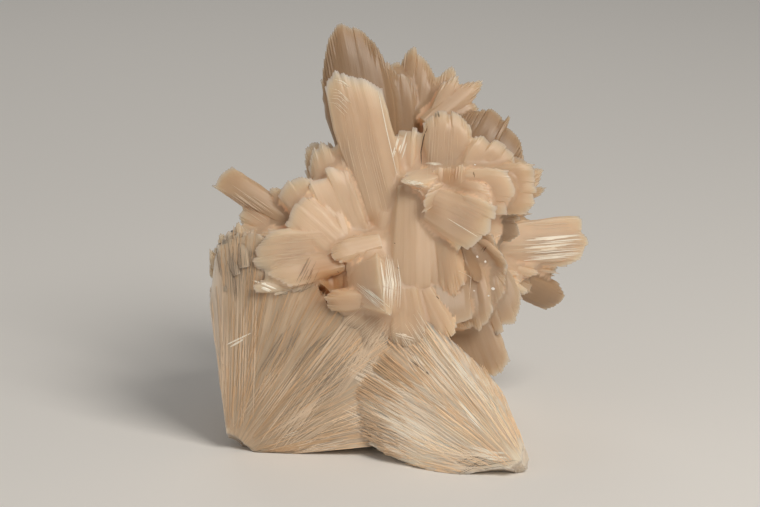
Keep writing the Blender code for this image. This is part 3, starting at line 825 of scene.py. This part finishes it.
def fan_tint(places):
    """The tan of the left spray turns into the silky white of the right one where they meet."""
    places = places + (0, BOX_MIDDLE_Y, 0)
    spread = 1 + places @ AWAY / VIEW_DISTANCE
    across = VIEW_CENTRE[0] + (places[..., 0] + BOX_MIDDLE_X - VIEW_CENTRE[0]) / spread
    spots = np.stack((across, VIEW_CENTRE[1] + (places @ UPWARD - VIEW_CENTRE[1]) / spread), -1)
    share = softened(np.clip((spots[..., :1] - SILK_FROM) / SILK_BLEND, 0, 1))
    tints = TAN * (1 - share) + SILK * share
    # The near-white bands laid over the tan and the silk are painted highlights of the sheen
    for tint, start, end, width, strength in SHEEN_AND_TINT_BANDS:
        run = np.subtract(end, start)
        along = np.clip((spots - start) @ run / (run @ run), 0, 1)[..., None]
        off = np.linalg.norm(spots - start - along * run, axis=-1, keepdims=True)
        near = strength * np.exp(-((off / width) ** 2))
        tints = tints * (1 - near) + np.array(tint) * near
    return tints


def dive(spec, share):
    """How far the front of a spray bends back, in degrees, towards its far end under its neighbour."""
    return spec.get("dive", 0) * np.clip((share - 0.5) / 0.5, 0, 1) ** 2


def meet(places):
    """Lays the front of the right spray softly onto the left spray where their fibres meet."""
    apex, lean = seen(SPRAYS["left"]["apex"]), math.radians(SPRAYS["left"]["lean"][0])
    off = places - apex
    across = np.hypot(off @ RIGHT, off @ UPWARD)
    proud = (off @ AWAY - across * math.tan(lean)) / MEETING
    near = np.clip(proud, -1, 1)
    laid = -((1 - near) ** 2) / 4 + 0.05 * (1 + near) + 0.2 * np.clip(proud - 1, 0, None)
    shift = np.where(proud > -1, laid - proud, 0) * MEETING
    return places + AWAY * shift[..., None]


def broken(angle, lean, width, depth):
    """A steady random share for each small step of a spray's broken end."""
    cell = np.floor(angle / width) * 91 + np.floor(lean / depth) * 17
    return np.abs(np.sin(cell * 12.9898) * 43758.5453) % 1


def broken_end(spec, angle, lean, far):
    """Rings that close a spray at its far or near end."""
    (first, last), (front, rear) = spec["span"], spec["lean"]
    mid_angle, mid_lean = (first + last) / 2, (front + rear) / 2
    level, bite = (0.985, -0.06) if far else (1.0, 0.05)
    rings = []
    for shrink in np.linspace(0.96, 0.02, CAP_ROWS):
        turn = mid_angle + (angle - mid_angle) * shrink
        tilt = mid_lean + (lean - mid_lean) * shrink
        tilt = tilt + far * dive(spec, 1.0) * (tilt - rear) / (front - rear)
        out = by_angle(spec["reach" if far else "inner"], turn)
        out = out * (level + bite * broken(turn, tilt, 0.8, 1.4))
        rings.append(seen(spec["apex"]) + ways(turn, tilt) * out[:, None])
    return np.stack(rings)


def spray(mass, rng, spec, laid=False):
    """A spray of fibres as one closed body with ribbed sides and broken ends."""
    apex = seen(spec["apex"])
    (first, last), (front, rear) = spec["span"], spec["lean"]
    wide = int((last - first) * SPRAY_POINTS)
    deep = int((rear - front) * SPRAY_POINTS * 0.5)
    counts = (wide, deep, wide // 2, deep)
    corners = ((first, front), (last, front), (last, rear), (first, rear), (first, front))
    sides = list(zip(corners, corners[1:], counts))
    angle, lean = (
        np.concatenate([np.linspace(a[k], b[k], count, endpoint=False) for a, b, count in sides])
        for k in range(2)
    )
    out_angle, out_lean = np.repeat(((0, -1), (1, 0), (0, 1), (-1, 0)), counts, axis=0).T
    around = len(angle)
    share = np.linspace(0, 1, SPRAY_ROWS)[:, None]
    rib = 0.55 * wander(rng, around, 3.4 * SPRAY_POINTS) + 0.25 * wander(rng, around, 1.1 * SPRAY_POINTS)
    rib = rib + 0.2 * wander(rng, around, 0.4 * SPRAY_POINTS)
    bundle = bundles(rng, around, 4, 16)
    height = rng.uniform(-0.5, 0.5, around)[bundle]
    other = rng.uniform(-0.5, 0.5, around)[bundle]
    stop = rng.uniform(0.15, 1.3, around)[bundle] + 0.05 * wander(rng, around, 2)
    swell = rib + height + (other - height) * np.clip((share - stop) / 0.03, 0, 1)
    swell = RIB_HEIGHT * swell - RIB_HEIGHT * 0.6
    flank = angle + out_angle * swell
    dip = lean + out_lean * swell + dive(spec, share) * (lean - rear) / (front - rear)
    start = by_angle(spec["inner"], angle)[None, :]
    reach = by_angle(spec["reach"], angle)[None, :]
    jag = broken(angle, lean, 0.55, 1.1)
    jag_slow = 0.5 + 0.5 * wander(rng, around, 5 * SPRAY_POINTS)
    end = reach * (1 - 0.03 * jag - 0.03 * jag_slow) - 0.05
    begin = start * (1 + 0.1 * jag)
    distance = begin + (end - begin) * share
    body = apex + ways(flank, dip) * distance[..., None]
    near_end, far_end = (broken_end(spec, angle, lean, far) for far in (False, True))
    grid = np.concatenate((near_end[::-1], body, far_end))
    if laid:
        front_share = np.clip(1 - (lean - front) / MEETING_DEPTH, 0, 1)[None, :, None]
        grid = grid + (meet(grid) - grid) * front_share
    cap = np.ones((CAP_ROWS, around))
    total = np.concatenate((0 * cap, distance, 25 * cap))
    turned = (angle + lean)[None, :] * 0.3 + 0 * total
    fibres = np.stack((turned, total, 0 * total + 5), -1)
    streak = 0.07 * wander(rng, around, 2.2 * SPRAY_POINTS)
    streak = streak + 0.05 * wander(rng, around, 0.5 * SPRAY_POINTS)
    lift = 1 + streak[None, :] + 0 * total
    tints = fan_tint(grid) * lift[..., None]
    mass.add(grid, fibres, tints, closed_rings(*grid.shape[:2]), streaks=SPRAY_STREAKS)


def spray_needles(mass, rng, spec, count, laid=False):
    """Loose fibres that lie on the sides of a spray and stand out of its end."""
    apex = seen(spec["apex"])
    (first, last), (front, rear) = spec["span"], spec["lean"]
    side = rng.uniform(size=count)
    angle = rng.uniform(first, last, count)
    on_front, edge = side < FRONT_SHARE, side > EDGES_FROM
    lean = np.where(on_front, front, rear)
    angle = np.where(edge, np.where(rng.uniform(size=count) < 0.5, first, last), angle)
    lean = np.where(edge, rng.uniform(front, rear, count), lean)
    out = rng.uniform(-0.25, LOOSE_LIFT, count)
    lean_out = np.where(edge, 0, np.where(on_front, -1, 1)) * out
    angle_out = np.where(edge, np.where(angle == first, -1, 1), 0) * out
    start = by_angle(spec["inner"], angle)
    reach = by_angle(spec["reach"], angle)
    low = rng.uniform(0.02, 0.88, count)
    high = np.minimum(low + rng.uniform(0.08, 0.45, count), rng.uniform(0.95, 1.01, count))
    near = start + (reach - start) * low
    far = start + (reach - start) * high
    drift = rng.normal(0, 0.4, count)
    lean_out = lean_out + on_front * dive(spec, high)
    starts = apex + ways(angle, lean + on_front * dive(spec, low)) * near[:, None]
    ends = apex + ways(angle + angle_out + drift * (edge == 0), lean + lean_out) * far[:, None]
    if laid:
        starts = np.where(on_front[:, None], meet(starts), starts)
        ends = np.where(on_front[:, None], meet(ends), ends)
    tints = fan_tint(ends) * (1.0, 0.9, 0.78) * (1.05 + rng.uniform(-0.1, 0.16, count))[:, None]
    needles(mass, rng, starts, ends, rng.uniform(*LOOSE_WIDTHS, count), tints)


def lump(mass, rng, middle, half_sizes, tint):
    """A mass of intergrown roots with a rough broken surface."""
    rings, around = 30, 54
    tilt = np.linspace(0.02, math.pi - 0.02, rings)[:, None]
    turn = np.linspace(0, 2 * math.pi, around, endpoint=False)[None, :]
    ball = (np.sin(tilt) * np.cos(turn), np.sin(tilt) * np.sin(turn), np.cos(tilt) + 0 * turn)
    ball = np.stack(ball, -1)
    rough = np.zeros((rings, around))
    for size, strength in ((1.7, 0.1), (4.1, 0.05), (9.3, 0.025)):
        phase = rng.uniform(0, 6, (4, 3))
        for k in range(4):
            wave = unit(rng.normal(size=3)) * size
            rough += strength / 2 * np.sin(ball @ wave * 2.2 + phase[k, 0])
    ball = ball * (1 + rough - 0.1)[..., None]
    points = seen(np.asarray(middle) + ball * np.asarray(half_sizes))
    mass.add(points, ball * 4, tint, closed_rings(rings, around))


def met_from_eye(trees, spots):
    """Points and normals of the first surface behind each spot that the viewer sees."""
    met = []
    for spot in seen(np.insert(spots, 2, 0.0, axis=1)):
        hits = [tree.ray_cast(EYE, unit(spot - EYE)) for tree in trees]
        hits = [hit for hit in hits if hit[0] is not None]
        if hits:
            met.append(min(hits, key=lambda hit: hit[3])[:2])
    return np.array(met)


def lay_strand(mass, rng, met, width, colour):
    """A flat strand, pointed at both ends, along points of a surface."""
    middles, normals = met[:, 0], met[:, 1]
    normals = unit(normals.mean(0) + 0.3 * normals)
    along = unit(middles[-1] - middles[0])
    across = unit(np.cross(normals, along))
    place = np.linspace(-1, 1, len(met))
    half = 0.5 * width * np.sqrt(1.02 - place**2)[:, None] * rng.uniform(0.7, 1.2)
    tall = 0.012 + 0.35 * half
    rings = np.stack((across * half, normals * tall, -across * half, -normals * tall), 1)
    points = (middles + 0.01 * normals)[:, None] + rings
    number = np.arange(len(met) * 4).reshape(-1, 4)
    caps = np.array([number[0][::-1], number[-1]])
    number = np.concatenate((number, number[:, :1]), 1)
    tint = np.array(MARK_TINTS[colour]) * rng.uniform(0.92, 1.04)
    fibres = points * 0 + rng.uniform(0, 90)
    mass.add(points, fibres, tint, np.concatenate((strips(number), caps)))


def add_marks(mass, surfaces):
    """Strands that lie on the display side: painted highlights, silky sheen and sparkling glints, and
    dark hairlines and specks.
    """
    rng = np.random.default_rng(31)
    trees = [BVHTree.FromPolygons(*surface) for surface in surfaces]
    for colour, width, strands, spread, *run in MARKS:
        run = np.array(run)
        far = np.append(0, np.cumsum(np.linalg.norm(np.diff(run, axis=0), axis=1)))
        side = unit(run[-1] - run[0])[::-1] * (1, -1)
        for _ in range(strands):
            first, last = (0.0, 1.0) if strands < 3 else (rng.uniform(0, 0.5), rng.uniform(0.5, 1.0))
            off = side * (rng.uniform(-spread, spread) if strands > 1 else 0)
            steps = max(4, int((last - first) * far[-1] / MARK_STEP) + 1)
            share = np.linspace(first, last, steps) * far[-1]
            met = met_from_eye(trees, np.stack([np.interp(share, far, axis) for axis in run.T], -1) + off)
            if len(met) < 4 or max(np.linalg.norm(np.diff(met[:, 0], axis=0), axis=1)) > MARK_JUMP:
                continue
            lay_strand(mass, rng, met, width, colour)


def crystal_material(name, milky, radius):
    """Milky crystal: streaks along its fibres, cloudy depth and a silky gloss."""
    made = bpy.data.materials.new(name)
    made.use_nodes = True
    nodes, links = made.node_tree.nodes, made.node_tree.links

    def fill(node, inputs):
        for key, value in inputs.items():
            if isinstance(value, bpy.types.NodeSocket):
                links.new(value, node.inputs[key])
            else:
                node.inputs[key].default_value = value

    def node(kind, output, inputs, **settings):
        new = nodes.new(f"ShaderNode{kind}")
        for key, value in settings.items():
            setattr(new, key, value)
        fill(new, inputs)
        return new.outputs[output]

    def math_node(operation, *values):
        return node("Math", 0, dict(enumerate(values)), operation=operation)

    def attribute(name, output):
        return node("Attribute", output, {}, attribute_name=name)

    def noise(vector, scale, detail):
        return node("TexNoise", "Fac", {"Vector": vector, "Scale": scale, "Detail": detail})

    def along_fibres(across, along, detail):
        stretch = {0: attribute("fibre", "Vector"), 1: (across, along, 1.0)}
        return noise(node("VectorMath", 0, stretch, operation="MULTIPLY"), 1.0, detail)

    fine = along_fibres(7.0, 0.35, 3.0)
    broad = along_fibres(1.5, 0.12, 2.0)
    cloud = noise(node("TexCoord", "Object", {}), 160.0, 3.0)

    streaks = math_node("ADD", math_node("SUBTRACT", fine, 0.5), math_node("SUBTRACT", broad, 0.5))
    streaks = math_node("MULTIPLY", streaks, attribute("streaks", "Fac"))
    clouds = math_node("MULTIPLY", math_node("SUBTRACT", cloud, 0.5), 0.34)
    shade = math_node("ADD", math_node("ADD", streaks, clouds), 1.0)
    tinted = {0: attribute("tint", "Color"), "Scale": shade}
    raised = {"Strength": 0.14, "Distance": 0.1 * MM, "Height": fine}
    looks = {
        "Base Color": node("VectorMath", 0, tinted, operation="SCALE"),
        "Roughness": math_node("MULTIPLY_ADD", fine, 0.25, 0.3),
        "Normal": node("Bump", "Normal", raised),
        "IOR": 1.53,
        "Subsurface Weight": milky,
        "Subsurface Radius": radius,
        "Subsurface Scale": 2.6 * MM,
    }
    fill(nodes["Principled BSDF"], looks)
    return made


def with_fillers(table):
    """A table with short blades added between neighbours that fan out of the same root."""
    made = dict(table)
    least, most = FILLER_ANGLES
    blades = [(key, row) for key, row in table.items() if "web" not in key]
    for (one, first), (other, second) in itertools.combinations(blades, 2):
        roots, tips = np.array((first[0], second[0])), np.array((first[1], second[1]))
        ways_out = unit(tips - roots)
        apart = math.degrees(math.acos(ways_out[0] @ ways_out[1]))
        if least < apart < most and np.linalg.norm(roots[0] - roots[1]) < FILLER_ROOTS:
            root = roots.mean(0) + (0, 0, FILLER_BEHIND)
            tip = root + (tips.mean(0) - root) * FILLER_REACH
            width, turn = (first[2] + second[2]) / 2, (first[4] + second[4]) / 2
            made[f"{one}_{other}_web"] = (root, tip, width, FILLER_THICKNESS, turn, FILLER_CROWN)
            TONES_AND_PAINTED_LIGHT[f"{one}_{other}_web"] = (TONES_AND_PAINTED_LIGHT.get(one, 1.0) + TONES_AND_PAINTED_LIGHT.get(other, 1.0)) / 2
    return made


def add_blades(mass, table, seed, tint=CREAM, fine=LATH, rows=BLADE_ROWS, siblings=3):
    """The crystals of a table, with fillers between them and smaller ones beside the rougher ones."""
    rng = np.random.default_rng(seed)
    for key, (root, tip, width, thick, turn, crown) in with_fillers(table).items():
        own = tint * TONES_AND_PAINTED_LIGHT.get(key, 1.0) ** WARMTH
        start, end = seen(root), seen(tip)
        grow(mass, rng, start, end, width, thick, turn, crown, own, fine, rows, SLANTS.get(key))
        if "web" not in key and key not in SMOOTH:
            intergrowths(mass, rng, start, end, width, thick, turn, own, siblings)


def intergrowths(mass, rng, start, end, width, thick, turn, tint, count):
    """Smaller crystals that grow out of a blade beside it, so that neighbours run into each other."""
    length = np.linalg.norm(end - start)
    along = (end - start) / length
    across, face = blade_axes(along, turn)
    for number in range(count):
        side = 1 if number % 2 else -1
        swing = side * math.radians(rng.uniform(7, 26))
        tilt = math.radians(rng.uniform(-12, 7))
        way = unit(along + across * math.tan(swing) + face * math.tan(tilt))
        near = start + along * length * rng.uniform(0.0, 0.2)
        far = near + way * length * rng.uniform(0.45, 0.75)
        wide = width * rng.uniform(0.5, 0.9)
        deep = min(thick, 1.6) * rng.uniform(0.6, 0.85)
        lean = turn + rng.uniform(-22, 22)
        own = tint * rng.uniform(0.96, 1.03)
        grow(mass, rng, near, far, wide, deep, lean, rng.uniform(0.25, 0.9), own, rows=SMALL_ROWS)


def add_shard(mass):
    """The bright wedge in front of the pocket."""
    bm = bmesh.new()
    for corner in SHARD_CORNERS:
        bm.verts.new(seen(corner))
    bmesh.ops.convex_hull(bm, input=bm.verts)
    bm.normal_update()
    bmesh.ops.subdivide_edges(bm, edges=bm.edges, cuts=12, use_grid_fill=True)
    bmesh.ops.triangulate(bm, faces=bm.faces)
    bm.normal_update()
    points = np.array([v.co for v in bm.verts])
    normals = np.array([v.normal for v in bm.verts])
    top, foot = seen(SHARD_RUN)
    along = unit(foot - top)
    side = points - (points @ along)[:, None] * along
    wave = np.sin(side[:, 0] * 14 + 3) * 0.5 + np.sin(side[:, 1] * 21 + side[:, 0] * 5) * 0.5
    points = points + normals * (wave * 0.03 - 0.03)[:, None]
    faces = np.array([[v.index for v in f.verts] for f in bm.faces])
    bm.free()

    quads = np.concatenate((faces, faces[:, 2:3]), 1)
    fibres = np.stack((side[:, 0] * 2, points @ along, side[:, 1]), -1)
    # A little lighter than the blades: a painted highlight on the lit wedge
    mass.add(points, fibres, CREAM * 1.04, quads)


def rear_table():
    """The blades of the far side, drawn in the solid's order so that they stand in its places."""
    rng = random.Random(23)
    middle = np.array(REAR_MIDDLE)
    made = {}
    for number in range(REAR_BLADES):
        off = REAR_SPREAD * math.sqrt((number + 0.5) / REAR_BLADES)
        around = GOLDEN_ANGLE * number
        aside, deep = math.sin(off), math.cos(off)
        way = np.array((aside * math.cos(around), aside * math.sin(around), deep))
        reach = way * (*REAR_FLATTENING, 1.0) * rng.uniform(*REAR_LENGTHS)
        made[f"rear_{number + 1}"] = (
            middle + way * 1.5,
            middle + reach,
            rng.uniform(*REAR_WIDTHS),
            rng.uniform(*REAR_THICKNESSES),
            rng.uniform(-60, 60),
            rng.uniform(0.15, 0.5),
        )
    return made


def build():
    """The six pieces. The strands lie on the sprays and blades, so they come after them."""
    deep = crystal_material("hydroboracite", 0.85, (1.0, 0.92, 0.82))
    silky = crystal_material("hydroboracite_sprays", 0.85, (0.5, 0.5, 0.5))
    thin = crystal_material("hydroboracite_fibres", 0.0, (1.0, 1.0, 1.0))
    fans = Mass()
    for seed, (name, spec) in enumerate(SPRAYS.items()):
        spray(fans, np.random.default_rng(100 + seed), spec, laid=name == "right")
    surfaces = [piece("sprays", fans, silky, sharp=50)]
    mass = Mass()
    add_blades(mass, TOP_BLADES, 1)
    add_blades(mass, ROSETTE_BLADES, 2)
    add_blades(mass, MIDDLE_BLADES, 3)
    add_blades(mass, LEFT_BLADES, 4)
    # The blades in the shade are painted darker: painted shade
    add_blades(mass, SHADE_BLADES, 5, CREAM * 0.7)
    add_blades(mass, PRONG_BLADES, 6)
    add_blades(mass, rear_table(), 8, fine=FAR_LATH, rows=SMALL_ROWS, siblings=1)
    add_blades(mass, SKIRT_BLADES, 9, AMBER, siblings=0)
    add_shard(mass)
    rng = np.random.default_rng(5)
    for middle, half_sizes in (*ROOT_MASSES, POCKET_FLOOR):
        lump(mass, rng, middle, half_sizes, CREAM * 0.95)
    surfaces.append(piece("blades", mass, deep, clear=POCKET))
    marks = Mass()
    add_marks(marks, surfaces)
    piece("strands", marks, thin, solid=False)
    for seed, (name, spec) in enumerate(SPRAYS.items()):
        loose = Mass()
        rng = np.random.default_rng(200 + seed)
        spray_needles(loose, rng, spec, LOOSE_FIBRES[name], laid=name == "right")
        piece(f"{name}_fibres", loose, thin, solid=False)


def stage():
    """A plain pale floor in soft light."""
    mesh = bpy.data.meshes.new("floor")
    corners = [(x * FLOOR_HALF, y * FLOOR_HALF, 0) for x, y in ((-1, -1), (1, -1), (1, 1), (-1, 1))]
    mesh.from_pydata(corners, [], [(0, 1, 2, 3)])
    floor = placed("floor", mesh)
    pale = bpy.data.materials.new("pale_floor")
    pale.use_nodes = True
    shader = pale.node_tree.nodes["Principled BSDF"]
    shader.inputs["Base Color"].default_value = FLOOR_COLOUR
    shader.inputs["Roughness"].default_value = 0.8
    mesh.materials.append(pale)

    world = bpy.data.worlds.new("studio")
    world.use_nodes = True
    sky = world.node_tree.nodes["Background"]
    sky.inputs["Color"].default_value = ROOM_LIGHT
    sky.inputs["Strength"].default_value = ROOM_STRENGTH
    bpy.context.scene.world = world
    for name, values in LAMPS.items():
        lamp(name, *values)


def lamp(name, place, size, power, colour):
    light = bpy.data.lights.new(name, "AREA")
    light.size = size
    light.energy = power
    light.color = colour
    made = placed(name, light)
    place = np.array(place) * MM
    back = unit(place - LAMPS_AIM)
    side = unit(np.cross((0, 0, 1.0), back))
    up = np.cross(back, side)
    made.matrix_world = to_matrix(side, up, back, place)


def to_matrix(x, y, z, place):
    return Matrix([[x[i], y[i], z[i], place[i]] for i in range(3)] + [[0, 0, 0, 1]])


def camera():
    data = bpy.data.cameras.new("camera")
    data.sensor_width = 36.0
    data.lens = 36.0 * VIEW_DISTANCE / FRAME_WIDTH
    data.clip_start = 0.01
    data.clip_end = 10.0
    made = placed("camera", data)
    made.matrix_world = to_matrix(RIGHT, UPWARD, -AWAY, EYE * MM)
    bpy.context.scene.camera = made


camera()
stage()
build()
bpy.context.scene.view_settings.view_transform = "Standard"
